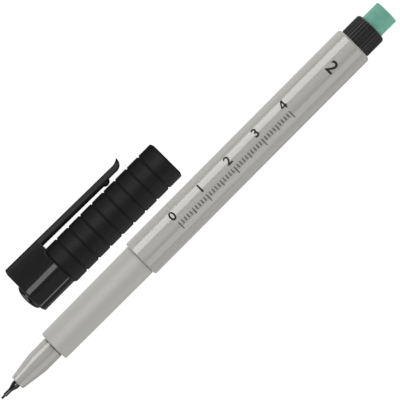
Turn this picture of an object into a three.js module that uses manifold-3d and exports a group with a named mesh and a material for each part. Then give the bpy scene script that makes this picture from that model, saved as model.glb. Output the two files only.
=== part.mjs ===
// A fibre-tip non-permanent marker lying on a table, its cap pulled off and lying beside it.
// Millimetres, +Z up. The pen lies along +X from the nib to the eraser, and the cap lies on its +Y side.
// The origin is on the table, under the middle of the whole set.
//
// The pen: a hollow barrel, a front section plugged into it, a nose that carries the nib in a thin
// holder, a wrapped fibre reservoir, and a ridged tail plug with a rubber eraser.
// The cap: a grooved tube, an end housing with a clip, and an inner liner that seals on the nose.

import * as THREE from "three";
import { mergeVertices } from "three/addons/utils/BufferGeometryUtils.js";
import Module from "manifold-3d";

const wasm = await Module();
wasm.setup();

// Radial play between pieces that slide into each other
const fit = 0.08;

// Nib: a thin fibre rod that reaches back into the reservoir
const nibRadius = 0.34;
const nibPointRadius = 0.2;
const nibExposed = 1.15;
const nibInWick = 4;

// Nib holder: a needle-shaped black plastic piece
const holderTubeRadius = 0.57;
const holderTubeLength = 2.05;
const holderConeLength = 1.65;
const holderBaseRadius = 1.11;
const holderBaseLength = 0.87;
const holderStemRadius = 1.65;
const holderStemLength = 18;

// Nose: the glossy tapered end that the cap's liner seals on
const noseTipRadius = 2.05;
const noseRadius = 3.12;
const noseConeLength = 7.18;
const noseCylinderLength = 6.02;
const noseFrontWall = 1.4;
const noseGrooveWidth = 0.32;
const noseGrooveDepth = 0.2;
const noseFlange = 0.28;
const noseSleeveLength = 11;
const noseChamberRadius = 2.6;

// Front section: the satin grip between the nose and the barrel
const sectionLength = 31.54;
const sectionTaper = 0.19;
const sectionShoulder = 0.46;
const sectionEdge = 0.5;
const sectionFrontWall = 1.2;
const sectionSpigotWall = 0.69;
const sectionSpigotLength = 10;

// Barrel: an open tube
const barrelWall = 1.2;
const barrelLength = 77.74;
const barrelFrontEdge = 0.5;
const barrelBackEdge = 0.75;

// Reservoir: a fibre rod in a film wrapper
const wrapperWall = 0.2;

// Tail plug: a ridged ring with a spigot in the barrel, which also holds the eraser
const ringShoulder = 0.28;
const ringLength = 6.3;
const ringEdge = 0.9;
const ridgeCount = 30;
const ridgeDepth = 0.2;
const ridgeShare = 0.5;
const plugSpigotLength = 9;
const plugPartition = 1.2;
const socketDepth = 6.5;
const socketWall = 0.67;

// Eraser
const eraserExposed = 5.5;
const eraserEdge = 0.25;

// Cap tube: the grooved matt part that goes over the front section
const capOnSection = 0.12;
const capToBarrel = 0.7;
const tubeWall = 1.01;
const tubeEndEdge = 0.6;
const tubeMouthEdge = 0.5;
const endBandLength = 4.5;
const mouthBandLength = 5.05;
const grooveCount = 8;
const grooveWidth = 0.6;
const grooveFloor = 0.26;
const grooveDepth = 0.3;

// Cap end housing: the glossy closed end with the root of the clip
const housingStep = 0.46;
const housingEndWall = 1.1;
const housingEndRoll = 0.6;
const rootOverhang = 0.95;
const rootOverTube = 0.18;

// Clip: a springy tongue with a stiffening rib, a ball under it and a curled free end
const clipReach = 3.5;
const clipSlope = 0.0165;
const clipWidth = 4.6;
const clipThickness = 1.72;
const clipRootGap = 0.3;
const clipStraight = 27;
const clipRibWidth = 1.6;
const clipRibDepth = 0.56;
const clipBallRadius = 1.45;
const clipBallFromRoot = 22.82;
const clipBallOverTube = 0.3;
const curlOuterRadius = 2.2;
const curlInnerRadius = 3.2;
const curlRise = 14;

// Cap liner: the inner cap that closes on the nose, with its domed end showing
const linerDomeRadius = 3.56;
const linerDomeRise = 0.88;
const linerProud = 1.25;
const linerEndWall = 0.8;
const linerWall = 0.72;
const linerFlangeLength = 1.5;
const linerInTube = 8.37;
const linerSealRunIn = 0.8;
const linerThroatPlay = 0.4;
const linerPitPlay = 0.43;
const nibClearance = 0.7;

// Where the cap lies: how far its closed end is behind the nib's point, and the gap beside the pen
const capFromPoint = 22.2;
const capBesidePen = 2.11;

// Sides of the round bodies. Each has a flat side underneath, so a body rests on it.
const roundSides = 40;
const smallSides = 24;
const needleSides = 16;

// Places along the pen, from the nib's point
const holderX = nibExposed;
const holderConeX = holderX + holderTubeLength;
const holderBaseX = holderConeX + holderConeLength;
const noseX = holderBaseX + holderBaseLength;
const holderStemX = noseX + noseFrontWall;
const noseChamberX = holderStemX + holderStemLength;
const noseCylinderX = noseX + noseConeLength;
const sectionX = noseCylinderX + noseCylinderLength;
const noseFlangeX = sectionX + sectionFrontWall;
const noseEndX = noseFlangeX + noseSleeveLength;
const barrelX = sectionX + sectionLength;
const ringX = barrelX + barrelLength;
const ringEndX = ringX + ringLength;
const eraserEndX = ringEndX + eraserExposed;
const socketFloorX = ringEndX - socketDepth;
const plugCupX = socketFloorX - plugPartition;
const plugEndX = ringX - plugSpigotLength;

// Radii of the pen, worked outwards from the nose
const noseSleeveRadius = noseRadius + noseFlange;
const sectionBore = noseSleeveRadius + fit;
const sectionSpigotRadius = sectionBore + sectionSpigotWall;
const sectionBackRadius = sectionSpigotRadius + sectionShoulder;
const sectionFrontRadius = sectionBackRadius - sectionTaper;
const barrelBore = sectionSpigotRadius + fit;
const barrelRadius = barrelBore + barrelWall;
const wrapperRadius = sectionBore - fit;
const wickRadius = wrapperRadius - wrapperWall - fit / 2;
const ringRadius = barrelBore + ringShoulder;
const plugSpigotRadius = barrelBore - fit;
const socketRadius = plugSpigotRadius - socketWall;
const eraserRadius = socketRadius - fit;

// Radii of the cap, worked outwards from the pen that it goes on
const linerBore = noseRadius + fit;
const linerBodyRadius = linerBore + linerWall;
const linerThroatRadius = noseTipRadius + linerThroatPlay;
const linerPitRadius = holderBaseRadius + linerPitPlay;
const tubeBore = sectionBackRadius + capOnSection;
const tubeRadius = tubeBore + tubeWall;
const linerFlangeRadius = tubeBore - fit;
const housingRadius = tubeRadius - housingStep;
const clipTop = tubeRadius + clipReach;

// Places along the cap, from the top of its dome. On the pen, its liner stops on the front section.
const housingX = linerProud;
const housingWallX = housingX + housingEndWall;
const linerEndX = sectionX + nibClearance + linerEndWall;
const linerFlangeX = linerEndX - linerFlangeLength;
const linerSealX = linerEndX - noseCylinderLength - linerSealRunIn;
const linerThroatX = linerSealX - noseConeLength;
const tubeX = linerEndX - linerInTube;
const mouthX = linerEndX + sectionLength - capToBarrel;
const groovePitch = (mouthX - tubeX - endBandLength - mouthBandLength) / (grooveCount - 1);
const rootEndX = tubeX + rootOverhang;
const clipX = rootEndX + clipRootGap;
const clipBallX = rootEndX + clipBallFromRoot;
const curlX = rootEndX + clipStraight;

const greyGloss = new THREE.MeshStandardMaterial({ color: 0xacaca8, roughness: 0.25 });
const greySatin = new THREE.MeshStandardMaterial({ color: 0xb0b0ab, roughness: 0.55 });
const blackGloss = new THREE.MeshStandardMaterial({ color: 0x262626, roughness: 0.25 });
const blackMatt = new THREE.MeshStandardMaterial({ color: 0x2b2b2b, roughness: 0.6 });
const eraserGreen = new THREE.MeshStandardMaterial({ color: 0x689e90, roughness: 0.85 });
const nibGrey = new THREE.MeshStandardMaterial({ color: 0x4a4a4c, roughness: 0.7 });
const inkedFibre = new THREE.MeshStandardMaterial({ color: 0x3a3a40, roughness: 0.95 });
const clearFilm = new THREE.MeshStandardMaterial({ color: 0xe4e6e6, roughness: 0.3 });

// Points along an arc, as [x, r] pairs about a centre, between two angles in degrees.
function arc(x, r, radius, start, end, steps = 4) {
  const points = [];
  for (let i = 0; i <= steps; i++) {
    const angle = THREE.MathUtils.degToRad(start + ((end - start) * i) / steps);
    points.push([x + radius * Math.cos(angle), r + radius * Math.sin(angle)]);
  }
  return points;
}

// A body of revolution about X. The outline's [x, radius] points run along its outside towards +X.
function turned(outline, sides = roundSides) {
  const points = outline.map(([x, r]) => new THREE.Vector2(r, x));
  const geometry = new THREE.LatheGeometry(points, sides, Math.PI / sides, 2 * Math.PI);
  return geometry.rotateZ(-Math.PI / 2);
}

// A hollow body of revolution: its outside towards +X, then its bore back again.
function turnedTube(outside, bore, sides) {
  return turned([...outside, ...bore, outside[0]], sides);
}

// A plain round bar or hole about X, between two places.
function rod(from, to, radius, sides) {
  return turned([[from, 0], [from, radius], [to, radius], [to, 0]], sides);
}

// A flat outline in X and Y, given thickness along Z about the mid-plane.
function slab(outline, thickness) {
  const shape = new THREE.Shape(outline.map(([x, y]) => new THREE.Vector2(x, y)));
  const geometry = new THREE.ExtrudeGeometry(shape, { depth: thickness, bevelEnabled: false });
  return geometry.translate(0, 0, -thickness / 2);
}

// A section in Y and Z, drawn out along +X from x.
function drawnOut(shape, x, length, curveSegments) {
  const settings = { depth: length, bevelEnabled: false, curveSegments };
  const alongX = new THREE.Matrix4().makeBasis(
    new THREE.Vector3(0, 1, 0),
    new THREE.Vector3(0, 0, 1),
    new THREE.Vector3(1, 0, 0),
  );
  return new THREE.ExtrudeGeometry(shape, settings).applyMatrix4(alongX).translate(x, 0, 0);
}

// A three.js geometry as a solid for cutting and joining.
function solid(geometry) {
  const bare = new THREE.BufferGeometry();
  bare.setAttribute("position", geometry.getAttribute("position"));
  bare.setIndex(geometry.index);
  const merged = mergeVertices(bare, 1e-4);
  return new wasm.Manifold(
    new wasm.Mesh({
      numProp: 3,
      vertProperties: merged.getAttribute("position").array,
      triVerts: new Uint32Array(merged.index.array),
    }),
  );
}

// A cut or joined solid as a three.js geometry again.
function geometryOf(shape) {
  const mesh = shape.getMesh();
  const geometry = new THREE.BufferGeometry();
  geometry.setAttribute("position", new THREE.BufferAttribute(mesh.vertProperties, 3));
  geometry.setIndex(new THREE.BufferAttribute(mesh.triVerts, 1));
  geometry.computeVertexNormals();
  return geometry;
}

function piece(name, geometry, material) {
  const mesh = new THREE.Mesh(geometry, material);
  mesh.name = name;
  return mesh;
}

// The nib tapers a little over its bare end, to a rounded point.
function nib() {
  const end = noseEndX + nibInWick;
  const outline = [
    [0, 0],
    ...arc(nibPointRadius, 0, nibPointRadius, 150, 90, 2),
    [nibExposed, nibRadius],
    [end, nibRadius],
    [end, 0],
  ];
  return piece("nib", turned(outline, needleSides), nibGrey);
}

function nibHolder() {
  const bore = nibRadius + fit;
  const outside = [
    [holderX, holderTubeRadius],
    [holderConeX, holderTubeRadius],
    [holderBaseX, holderBaseRadius],
    [holderStemX, holderBaseRadius],
    [holderStemX, holderStemRadius],
    [noseChamberX, holderStemRadius],
  ];
  const inside = [
    [noseChamberX, bore],
    [holderX, bore],
  ];
  return piece("nib_holder", turnedTube(outside, inside, needleSides), blackGloss);
}

// The nose has a thin shadow groove where it leaves the front section, and a sleeve inside that.
function nose() {
  const grooveX = sectionX - noseGrooveWidth;
  const outside = [
    [noseX, noseTipRadius],
    [noseCylinderX, noseRadius],
    [grooveX, noseRadius],
    [grooveX, noseRadius - noseGrooveDepth],
    [sectionX, noseRadius - noseGrooveDepth],
    [sectionX, noseRadius],
    [noseFlangeX, noseRadius],
    [noseFlangeX, noseSleeveRadius],
    [noseEndX, noseSleeveRadius],
  ];
  const inside = [
    [noseEndX, noseChamberRadius],
    [noseChamberX, noseChamberRadius],
    [noseChamberX, holderStemRadius + fit],
    [holderStemX, holderStemRadius + fit],
    [holderStemX, holderBaseRadius + fit],
    [noseX, holderBaseRadius + fit],
  ];
  return piece("nose", turnedTube(outside, inside), greyGloss);
}

function frontSection() {
  const spigotEndX = barrelX + sectionSpigotLength;
  const outside = [
    ...arc(sectionX + sectionEdge, sectionFrontRadius - sectionEdge, sectionEdge, 180, 90),
    [barrelX, sectionBackRadius],
    [barrelX, sectionSpigotRadius],
    [spigotEndX, sectionSpigotRadius],
  ];
  const inside = [
    [spigotEndX, sectionBore],
    [noseFlangeX, sectionBore],
    [noseFlangeX, noseRadius + fit],
    [sectionX, noseRadius + fit],
  ];
  return piece("front_section", turnedTube(outside, inside), greySatin);
}

function barrel() {
  const outside = [
    ...arc(barrelX + barrelFrontEdge, barrelRadius - barrelFrontEdge, barrelFrontEdge, 180, 90),
    ...arc(ringX - barrelBackEdge, barrelRadius - barrelBackEdge, barrelBackEdge, 90, 0),
  ];
  const inside = [
    [ringX, barrelBore],
    [barrelX, barrelBore],
  ];
  return piece("barrel", turnedTube(outside, inside), greyGloss);
}

// The fibre rod of the reservoir, with the hole that the nib presses into its front.
function wick() {
  const holeEndX = noseEndX + nibInWick;
  const outline = [
    [holeEndX, 0],
    [holeEndX, nibRadius + fit],
    [noseEndX, nibRadius + fit],
    [noseEndX, wickRadius],
    [plugCupX, wickRadius],
    [plugCupX, 0],
  ];
  return piece("reservoir_wick", turned(outline, smallSides), inkedFibre);
}

function wickWrapper() {
  const outside = [
    [noseEndX, wrapperRadius],
    [plugCupX, wrapperRadius],
  ];
  const inside = [
    [plugCupX, wrapperRadius - wrapperWall],
    [noseEndX, wrapperRadius - wrapperWall],
  ];
  return piece("reservoir_wrapper", turnedTube(outside, inside, smallSides), clearFilm);
}

// The section of the tail plug's ring: ridges all round, which run out past the ring's own radius.
function ridgedSection() {
  const pitch = (2 * Math.PI) / ridgeCount;
  const ridge = pitch * ridgeShare;
  const flank = ridge / 4;
  const valleyRadius = ringRadius - ridgeDepth;
  const outerRadius = ringRadius + ridgeDepth;
  const points = [];
  for (let i = 0; i < ridgeCount; i++) {
    const middle = i * pitch;
    const corners = [
      [middle - ridge / 2 - flank, valleyRadius],
      [middle - ridge / 2 + flank, outerRadius],
      [middle + ridge / 2 - flank, outerRadius],
      [middle + ridge / 2 + flank, valleyRadius],
    ];
    points.push(...corners.map(([a, r]) => new THREE.Vector2(r * Math.cos(a), r * Math.sin(a))));
  }
  return new THREE.Shape(points);
}

function tailPlug() {
  const ringOutline = [
    [ringX, 0],
    [ringX, ringRadius],
    ...arc(ringEndX - ringEdge, ringRadius - ringEdge, ringEdge, 90, 0),
    [ringEndX, 0],
  ];
  const ridges = solid(drawnOut(ridgedSection(), ringX, ringLength, 1));
  const shape = solid(turned(ringOutline, 2 * ridgeCount))
    .intersect(ridges)
    .add(solid(rod(plugEndX, ringX, plugSpigotRadius)))
    .subtract(solid(rod(plugEndX - 1, plugCupX, wrapperRadius + fit)))
    .subtract(solid(rod(socketFloorX, ringEndX + 1, socketRadius)));
  return piece("tail_plug", geometryOf(shape), blackMatt);
}

function eraser() {
  const outline = [
    [socketFloorX, 0],
    [socketFloorX, eraserRadius],
    ...arc(eraserEndX - eraserEdge, eraserRadius - eraserEdge, eraserEdge, 90, 0, 3),
    [eraserEndX, 0],
  ];
  return piece("eraser", turned(outline), eraserGreen);
}

function capTube() {
  const outside = [[tubeX, tubeRadius - tubeEndEdge], [tubeX + tubeEndEdge, tubeRadius]];
  for (let i = 0; i < grooveCount; i++) {
    const middle = tubeX + endBandLength + i * groovePitch;
    outside.push([middle - grooveWidth / 2, tubeRadius]);
    outside.push([middle - grooveFloor / 2, tubeRadius - grooveDepth]);
    outside.push([middle + grooveFloor / 2, tubeRadius - grooveDepth]);
    outside.push([middle + grooveWidth / 2, tubeRadius]);
  }
  outside.push(...arc(mouthX - tubeMouthEdge, tubeRadius - tubeMouthEdge, tubeMouthEdge, 90, 0));
  const inside = [
    [mouthX, tubeBore],
    [tubeX, tubeBore],
  ];
  return piece("cap_tube", turnedTube(outside, inside), blackMatt);
}

// The top of the clip, over the cap's axis. It falls away a little towards the free end.
function clipTopAt(x) {
  return clipTop - clipSlope * (x - housingX);
}

// The housing's section: a round body whose sides run straight up to the edges of the clip's root.
function housingSection() {
  const corner = new THREE.Vector2(clipTop, clipWidth / 2);
  const tangent = corner.angle() + Math.acos(housingRadius / corner.length());
  const shape = new THREE.Shape();
  shape.moveTo(corner.x, -corner.y);
  shape.lineTo(corner.x, corner.y);
  shape.absarc(0, 0, housingRadius, tangent, 2 * Math.PI - tangent);
  return shape;
}

// The housing's closed end from the side: flat in the middle, rolling off steeply at both edges.
function rolledEnd(high, low) {
  return [0, 0.05, 0.1, 0.2, 0.35, 0.65, 0.8, 0.9, 0.95, 1].map((share) => {
    const roll = Math.abs(2 * share - 1) ** 4.5;
    return [housingX + housingEndRoll * roll, high + (low - high) * share];
  });
}

function capHousing() {
  const through = 4 * clipTop;
  const underClip = tubeRadius + rootOverTube;
  const side = slab([
    ...rolledEnd(clipTopAt(housingX), -housingRadius),
    [tubeX, -housingRadius],
    [tubeX, underClip],
    [rootEndX, underClip],
    [rootEndX, clipTopAt(rootEndX)],
  ], through);
  const plan = slab([
    ...rolledEnd(housingRadius, -housingRadius),
    [rootEndX, -housingRadius],
    [rootEndX, housingRadius],
  ], through).rotateX(Math.PI / 2);
  const shape = solid(drawnOut(housingSection(), housingX, rootEndX - housingX, 30))
    .intersect(solid(side))
    .intersect(solid(plan))
    .add(solid(rod(housingWallX, linerFlangeX, linerFlangeRadius)))
    .subtract(solid(rod(housingWallX, linerFlangeX + 1, linerBodyRadius + fit)))
    .subtract(solid(rod(housingX - 1, housingWallX, linerDomeRadius + fit)));
  return piece("cap_housing", geometryOf(shape), blackGloss);
}

// The clip's tongue from the side, with its free end curled away from the cap.
function clipSide() {
  const innerY = clipTopAt(curlX) - clipThickness;
  const outerY = clipTopAt(curlX);
  const under = arc(curlX, innerY + curlOuterRadius, curlOuterRadius, -90, curlRise, 7);
  const tipX = under[under.length - 1][0];
  const sweep = THREE.MathUtils.radToDeg(Math.asin((tipX - curlX) / curlInnerRadius));
  const over = arc(curlX, outerY + curlInnerRadius, curlInnerRadius, sweep - 90, -90, 5);
  return [
    [clipX, clipTopAt(clipX) - clipThickness],
    ...under,
    ...over,
    [clipX, clipTopAt(clipX)],
  ];
}

function clip() {
  const ribAt = (x) => clipTopAt(x) - clipThickness - clipRibDepth;
  const rib = slab([
    [clipX, ribAt(clipX)],
    [clipBallX, ribAt(clipBallX)],
    [clipBallX, clipTopAt(clipBallX) - clipThickness / 2],
    [clipX, clipTopAt(clipX) - clipThickness / 2],
  ], clipRibWidth);
  const ballY = tubeRadius + clipBallOverTube + clipBallRadius;
  const ball = new THREE.SphereGeometry(clipBallRadius, 16, 12).translate(clipBallX, ballY, 0);
  const shape = solid(slab(clipSide(), clipWidth)).add(solid(rib)).add(solid(ball));
  return piece("clip", geometryOf(shape), blackGloss);
}

function capLiner() {
  const domeRadius = (linerDomeRadius ** 2 + linerDomeRise ** 2) / (2 * linerDomeRise);
  const sweep = THREE.MathUtils.radToDeg(Math.asin(linerDomeRadius / domeRadius));
  const outline = [
    ...arc(domeRadius, 0, domeRadius, 180, 180 - sweep),
    [housingWallX, linerDomeRadius],
    [housingWallX, linerBodyRadius],
    [linerFlangeX, linerBodyRadius],
    [linerFlangeX, linerFlangeRadius],
    [linerEndX, linerFlangeRadius],
    [linerEndX, linerBore],
    [linerSealX, linerBore],
    [linerThroatX, linerThroatRadius],
    [linerEndWall, linerPitRadius],
    [linerEndWall, 0],
  ];
  return piece("cap_liner", turned(outline), blackGloss);
}

const pen = new THREE.Group();
pen.add(nib(), nibHolder(), nose(), frontSection(), barrel());
pen.add(wick(), wickWrapper(), tailPlug(), eraser());

// The pen and the cap both rest on the flat side under their widest body.
const flatSide = Math.cos(Math.PI / roundSides);
const cap = new THREE.Group();
cap.add(capTube(), capHousing(), clip(), capLiner());
const capAway = barrelRadius + capBesidePen + tubeRadius;
cap.position.set(capFromPoint, capAway, (tubeRadius - barrelRadius) * flatSide);

const set = new THREE.Group();
set.add(pen, cap);
const box = new THREE.Box3().setFromObject(set, true);
const middle = box.getCenter(new THREE.Vector3());
set.position.set(-middle.x, -middle.y, -box.min.z);

const marker = new THREE.Group();
marker.name = "marker";
marker.add(set);

export default marker;
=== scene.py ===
import math

import bmesh
import bpy
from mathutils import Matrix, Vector


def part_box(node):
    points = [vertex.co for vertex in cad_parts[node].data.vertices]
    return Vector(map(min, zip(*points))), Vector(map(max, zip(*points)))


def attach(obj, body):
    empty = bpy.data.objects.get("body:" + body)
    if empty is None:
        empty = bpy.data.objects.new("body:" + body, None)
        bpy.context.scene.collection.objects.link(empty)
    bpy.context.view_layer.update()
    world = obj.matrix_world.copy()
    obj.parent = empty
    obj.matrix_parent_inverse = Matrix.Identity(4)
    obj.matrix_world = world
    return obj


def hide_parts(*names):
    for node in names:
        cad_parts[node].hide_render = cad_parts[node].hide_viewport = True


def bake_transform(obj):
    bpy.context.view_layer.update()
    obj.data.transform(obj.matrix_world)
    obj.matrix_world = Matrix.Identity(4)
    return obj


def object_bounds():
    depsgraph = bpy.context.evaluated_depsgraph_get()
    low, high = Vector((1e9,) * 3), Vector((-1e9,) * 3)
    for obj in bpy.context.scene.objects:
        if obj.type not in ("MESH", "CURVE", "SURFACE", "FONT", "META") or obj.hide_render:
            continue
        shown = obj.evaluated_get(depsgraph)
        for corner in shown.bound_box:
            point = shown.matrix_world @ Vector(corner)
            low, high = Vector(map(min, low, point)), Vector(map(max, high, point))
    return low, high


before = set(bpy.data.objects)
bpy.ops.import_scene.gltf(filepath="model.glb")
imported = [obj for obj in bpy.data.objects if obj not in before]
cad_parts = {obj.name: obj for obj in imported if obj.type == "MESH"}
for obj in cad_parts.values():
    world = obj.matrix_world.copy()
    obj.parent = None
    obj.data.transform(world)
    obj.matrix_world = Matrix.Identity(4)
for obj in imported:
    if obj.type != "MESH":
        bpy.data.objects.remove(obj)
cad_low, cad_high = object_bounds()


# Nib
# The real nib is a rod of extruded polyester fibre, ground to a small round point and dark with
# ink. Only its tip shows. The rest runs back through the holder into the reservoir.
mm = 0.001


def linear(code):
    """A linear colour with alpha, from an sRGB hex code such as "a7a7a2"."""
    parts = [int(code[i:i + 2], 16) / 255 for i in (0, 2, 4)]
    return [c / 12.92 if c <= 0.04045 else ((c + 0.055) / 1.055) ** 2.4 for c in parts] + [1.0]


def add_node(tree, kind, settings=None, links=None, ramp=()):
    """A new node. Each setting is the value of a socket or a property, each link feeds a socket, and
    ramp holds the hex codes of a colour ramp's stops."""
    made = tree.nodes.new(kind)
    for key, value in (settings or {}).items():
        if isinstance(key, int) or key in made.inputs:
            made.inputs[key].default_value = value
        else:
            setattr(made, key, value)
    for key, source in (links or {}).items():
        tree.links.new(source, made.inputs[key])
    for i, code in enumerate(ramp):
        made.color_ramp.elements[i].color = linear(code)
    return made


def new_material(name, settings):
    """A material with one Principled shader, its node tree, the shader and the place on the piece."""
    material = bpy.data.materials.new(name)
    material.use_nodes = True
    tree = material.node_tree
    shader = tree.nodes["Principled BSDF"]
    for key, value in settings.items():
        shader.inputs[key].default_value = value
    place = add_node(tree, "ShaderNodeTexCoord").outputs["Object"]
    return material, tree, shader, place


# A fillet takes up no more than this share of a side, and a turn of so few radians needs none.
most_of_side = 0.85
nearly_straight = 0.01


def fillet(before, corner, after, radius, step=15):
    """An arc of that radius that rounds the corner, with a point about every step degrees."""
    p, q, r = Vector(before), Vector(corner), Vector(after)
    way_in, way_out = (q - p).normalized(), (r - q).normalized()
    turn = way_in.angle_signed(way_out)
    if radius <= 0 or abs(turn) < nearly_straight:
        return [tuple(q)]
    cut = min(radius * abs(math.tan(turn / 2)),
              most_of_side * (q - p).length, most_of_side * (r - q).length)
    true_radius = cut / abs(math.tan(turn / 2))
    bend = 1 if turn > 0 else -1
    start = q - way_in * cut
    centre = start + bend * true_radius * Vector((way_in.y, -way_in.x))
    arm = start - centre
    count = max(2, round(math.degrees(abs(turn)) / step))
    points = []
    for i in range(count + 1):
        angle = -turn * i / count
        points.append((centre.x + arm.x * math.cos(angle) - arm.y * math.sin(angle),
                       centre.y + arm.x * math.sin(angle) + arm.y * math.cos(angle)))
    return points


hold_length = 0.1 * mm
hold_share = 0.3
shortest_held = 0.05 * mm


def outline(corners, closed):
    """A smooth outline from corners given as (x, radius, fillet radius). Short end stretches beside
    each corner keep the long flats flat when they are shaded."""
    count = len(corners)
    points = []
    for i, (x, r, rounding) in enumerate(corners):
        before, after = corners[i - 1], corners[(i + 1) % count]
        if not closed and i in (0, count - 1):
            points.append([(x, r)])
        else:
            points.append(fillet(before[:2], (x, r), after[:2], rounding))
    line = []
    for i, stretch in enumerate(points):
        line += stretch
        if not closed and i == count - 1:
            break
        a, b = Vector(stretch[-1]), Vector(points[(i + 1) % count][0])
        if (b - a).length > shortest_held:
            hold = (b - a).normalized() * min(hold_length, hold_share * (b - a).length)
            line += [tuple(a + hold), tuple(b - hold)]
    return line


def put_in_scene(name, data):
    """A new object in the scene, from a mesh, a curve, a light or a camera."""
    thing = bpy.data.objects.new(name, data)
    bpy.context.scene.collection.objects.link(thing)
    return thing


weld = 0.0005 * mm


def finished(name, bm, material, sharp=32):
    """A piece from a bmesh: faces out, smooth apart from edges sharper than that many degrees."""
    bmesh.ops.remove_doubles(bm, verts=bm.verts, dist=weld)
    bmesh.ops.recalc_face_normals(bm, faces=bm.faces)
    mesh = bpy.data.meshes.new(name)
    bm.to_mesh(mesh)
    bm.free()
    mesh.polygons.foreach_set("use_smooth", [True] * len(mesh.polygons))
    mesh.set_sharp_from_angle(angle=math.radians(sharp))
    mesh.materials.append(material)
    return put_in_scene(name, mesh)


def turned(name, corners, axis, material, closed=False, sides=128, radius_at=None):
    """A piece turned about a line along X through axis = (y, z). radius_at may change a radius."""
    bm = bmesh.new()
    rings = []
    for x, r in outline(corners, closed):
        if r == 0:
            rings.append([bm.verts.new((x, axis[0], axis[1]))])
            continue
        ring = []
        for i in range(sides):
            angle = 2 * math.pi * i / sides
            there = radius_at(x, r, angle) if radius_at else r
            ring.append(bm.verts.new((x, axis[0] + there * math.cos(angle),
                                      axis[1] + there * math.sin(angle))))
        rings.append(ring)
    pairs = list(zip(rings, rings[1:])) + ([(rings[-1], rings[0])] if closed else [])
    for a, b in pairs:
        for i in range(sides):
            j = (i + 1) % sides
            if len(a) == 1:
                bm.faces.new((a[0], b[j], b[i]))
            elif len(b) == 1:
                bm.faces.new((a[i], a[j], b[0]))
            else:
                bm.faces.new((a[i], a[j], b[j], b[i]))
    return finished(name, bm, material)


def middle(node):
    """The (y, z) of a round node's axis, and half its height, which its smooth skin keeps within."""
    low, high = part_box(node)
    return ((low.y + high.y) / 2, (low.z + high.z) / 2), (high.z - low.z) / 2


pen_axis, barrel_radius = middle("barrel")


def stranded_polyester(name, colours, roughness, strand_scale, bump, depth):
    """Polyester fibre. Its strands run along the piece and take up more ink here and less there."""
    material, tree, shader, place = new_material(name, {"Roughness": roughness, "IOR": 1.57})
    strands = add_node(tree, "ShaderNodeMapping", {"Scale": strand_scale}, {"Vector": place})
    noise = add_node(tree, "ShaderNodeTexNoise", {"Scale": 1.0, "Detail": 3.0},
                     {"Vector": strands.outputs[0]})
    colour = add_node(tree, "ShaderNodeValToRGB", links={"Fac": noise.outputs["Fac"]}, ramp=colours)
    relief = add_node(tree, "ShaderNodeBump", {"Strength": bump, "Distance": depth},
                      {"Height": noise.outputs["Fac"]})
    tree.links.new(colour.outputs["Color"], shader.inputs["Base Color"])
    tree.links.new(relief.outputs["Normal"], shader.inputs["Normal"])
    return material


# The nib's strands are drawn 0.06 mm apart, so that they show as a fine grain on its tip.
fibre = stranded_polyester("ink_stained_polyester_fibre", ("1c1c1e", "454547"), roughness=0.8,
                           strand_scale=(1.5 / mm, 16 / mm, 16 / mm), bump=0.5, depth=0.02 * mm)

low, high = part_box("nib")
nib_radius = middle("nib")[1]
nib_point = 0.32 * mm
nib_taper = 1.2 * mm
nib = turned("nib_rod", [
    (low.x, 0, 0),
    (low.x, 0.95 * nib_radius, nib_point),
    (low.x + nib_taper, nib_radius, 0.5 * mm),
    (high.x, nib_radius, 0.03 * mm),
    (high.x, 0, 0),
], pen_axis, fibre, sides=48)
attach(nib, "marker")
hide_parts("nib")


# Nib holder
# A needle-shaped holder moulded in black acetal, pressed into the nose from behind. The mould is
# polished, so the thin tube and the cone behind it carry sharp highlights.
def polished_black(name, roughness):
    """Black plastic from a polished mould: faint waves in its skin and hairline rubs in its gloss."""
    material, tree, shader, place = new_material(name, {"IOR": 1.5})
    # Waves about 2 mm apart, as shallow as a mould's own polish.
    waves = add_node(tree, "ShaderNodeTexNoise", {"Scale": 0.5 / mm}, {"Vector": place})
    # Rubs along the piece, each about 0.1 mm wide.
    along = add_node(tree, "ShaderNodeMapping", {"Scale": (0.3 / mm, 9 / mm, 9 / mm)},
                     {"Vector": place})
    rubs = add_node(tree, "ShaderNodeTexNoise", {"Scale": 1.0, "Detail": 4.0},
                    {"Vector": along.outputs[0]})
    gloss = add_node(tree, "ShaderNodeMapRange", {
        "From Min": 0.3, "From Max": 0.7,
        "To Min": roughness * 0.8, "To Max": roughness * 1.25,
    }, {"Value": rubs.outputs["Fac"]})
    colour = add_node(tree, "ShaderNodeValToRGB", links={"Fac": waves.outputs["Fac"]},
                      ramp=("191919", "1e1e1d"))
    bump = add_node(tree, "ShaderNodeBump", {"Strength": 0.06, "Distance": 0.05 * mm},
                    {"Height": waves.outputs["Fac"]})
    tree.links.new(colour.outputs["Color"], shader.inputs["Base Color"])
    tree.links.new(gloss.outputs["Result"], shader.inputs["Roughness"])
    tree.links.new(bump.outputs["Normal"], shader.inputs["Normal"])
    return material


black_acetal = polished_black("polished_black_acetal", 0.2)

low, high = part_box("nib_holder")
nose_low, nose_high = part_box("nose")
holder_stem_radius = middle("nib_holder")[1]
holder_tube_radius = 0.56 * mm
holder_base_radius = 1.1 * mm
holder_bore = 0.39 * mm
holder_tube = 2.05 * mm
holder_cone = 1.65 * mm
nose_front_wall = 1.4 * mm
holder = turned("nib_holder_needle", [
    (low.x, holder_bore, 0.05 * mm),
    (low.x, holder_tube_radius, 0.12 * mm),
    (low.x + holder_tube, holder_tube_radius, 0.8 * mm),
    (low.x + holder_tube + holder_cone, holder_base_radius, 0.4 * mm),
    (nose_low.x + nose_front_wall, holder_base_radius, 0),
    (nose_low.x + nose_front_wall, holder_stem_radius, 0.1 * mm),
    (high.x, holder_stem_radius, 0.1 * mm),
    (high.x, holder_bore, 0.05 * mm),
], pen_axis, black_acetal, closed=True, sides=64)
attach(holder, "marker")
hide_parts("nib_holder")


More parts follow.
